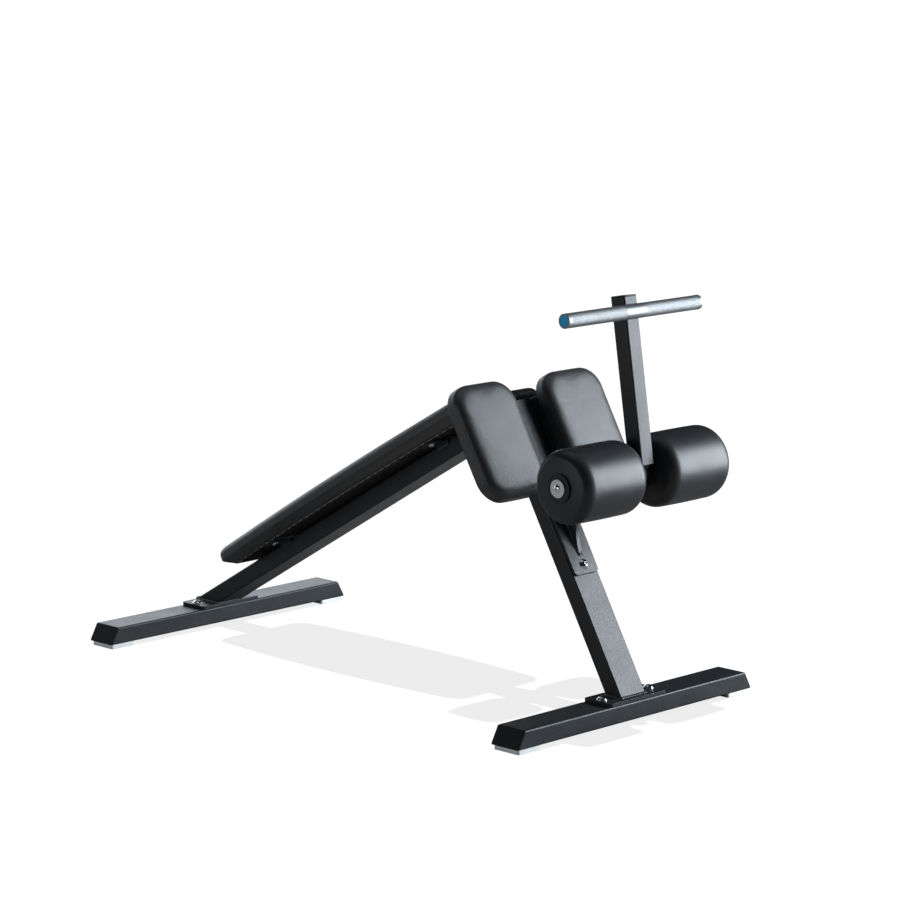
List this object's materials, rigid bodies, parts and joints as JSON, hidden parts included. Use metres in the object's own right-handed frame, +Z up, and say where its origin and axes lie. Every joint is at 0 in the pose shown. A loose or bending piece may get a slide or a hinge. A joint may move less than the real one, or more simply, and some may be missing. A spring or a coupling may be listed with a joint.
{
  "type": "roman chair",
  "caption": "Floor-standing roman chair: sloping back pad, thigh pads, foam ankle rollers and a T-shaped hand bar on a welded tube frame.",
  "frame": {"origin": "on the floor under the middle of the whole machine", "axes": "+X forwards towards the rollers and hand bar, +Y to the left along the rollers, +Z up"},
  "size_m": [1.4635, 0.75, 0.9253],
  "materials": {
    "powder_coat": "fine textured black powder coat",
    "black_vinyl": "satin black upholstery vinyl",
    "black_foam": "satin black moulded foam skin",
    "black_plastic": "moulded black plastic",
    "black_nylon": "turned black nylon",
    "white_plastic": "pale translucent plastic",
    "blue_plastic": "blue moulded plastic",
    "plywood": "plywood stained black",
    "zinc_steel": "bright zinc plate",
    "bright_bolts": "polished dome heads",
    "knurled_steel": "bright steel, knurled where the hands hold it"
  },
  "bodies": {
    "frame": {"rear_foot_tube": "powder_coat", "rear_foot_cap_left": "black_plastic", "rear_foot_cap_right": "black_plastic", "rear_glide_left": "white_plastic", "rear_glide_right": "white_plastic", "front_foot_tube": "powder_coat", "front_foot_cap_left": "black_plastic", "front_foot_cap_right": "black_plastic", "front_glide_left": "white_plastic", "front_glide_right": "white_plastic", "glide_screws": "zinc_steel", "rear_flange_plate": "powder_coat", "front_flange_plate": "powder_coat", "flange_bolts": "bright_bolts", "flange_washers": "zinc_steel", "flange_nuts": "zinc_steel", "main_beam": "powder_coat", "front_leg": "powder_coat", "leg_top_cap": "black_plastic", "back_bracket_lower": "powder_coat", "back_bracket_upper": "powder_coat", "back_pad_board": "plywood", "back_pad_cushion": "black_vinyl", "back_pad_bolts": "bright_bolts", "back_pad_tee_nuts": "zinc_steel", "thigh_bracket_left": "powder_coat", "thigh_bracket_right": "powder_coat", "thigh_board_left": "plywood", "thigh_board_right": "plywood", "thigh_cushion_left": "black_vinyl", "thigh_cushion_right": "black_vinyl", "thigh_pad_bolts": "bright_bolts", "thigh_pad_tee_nuts": "zinc_steel", "roller_bracket_plate": "powder_coat", "roller_arm": "powder_coat", "bracket_bolts": "bright_bolts", "bracket_nuts": "zinc_steel", "axle_sleeve": "powder_coat", "roller_axle": "zinc_steel", "end_washer_left": "zinc_steel", "end_bolt_left": "bright_bolts", "end_washer_right": "zinc_steel", "end_bolt_right": "bright_bolts", "handle_post": "powder_coat", "post_cap": "black_plastic", "hand_bar": "knurled_steel", "bar_cap_left": "blue_plastic", "bar_cap_right": "blue_plastic"},
    "left_roller": {"foam_roller_left": "black_foam", "core_tube_left": "zinc_steel", "inner_bush_left": "black_nylon", "outer_bush_left": "black_nylon"},
    "right_roller": {"foam_roller_right": "black_foam", "core_tube_right": "zinc_steel", "inner_bush_right": "black_nylon", "outer_bush_right": "black_nylon"}
  },
  "joints": [
    {"name": "left_roller_spin", "type": "hinge", "parent": "frame", "child": "left_roller", "pos_m": [0.6518, 0.1345, 0.543], "axis": [0, 1, 0], "continuous": true},
    {"name": "right_roller_spin", "type": "hinge", "parent": "frame", "child": "right_roller", "pos_m": [0.6518, -0.1345, 0.543], "axis": [0, 1, 0], "continuous": true}
  ]
}
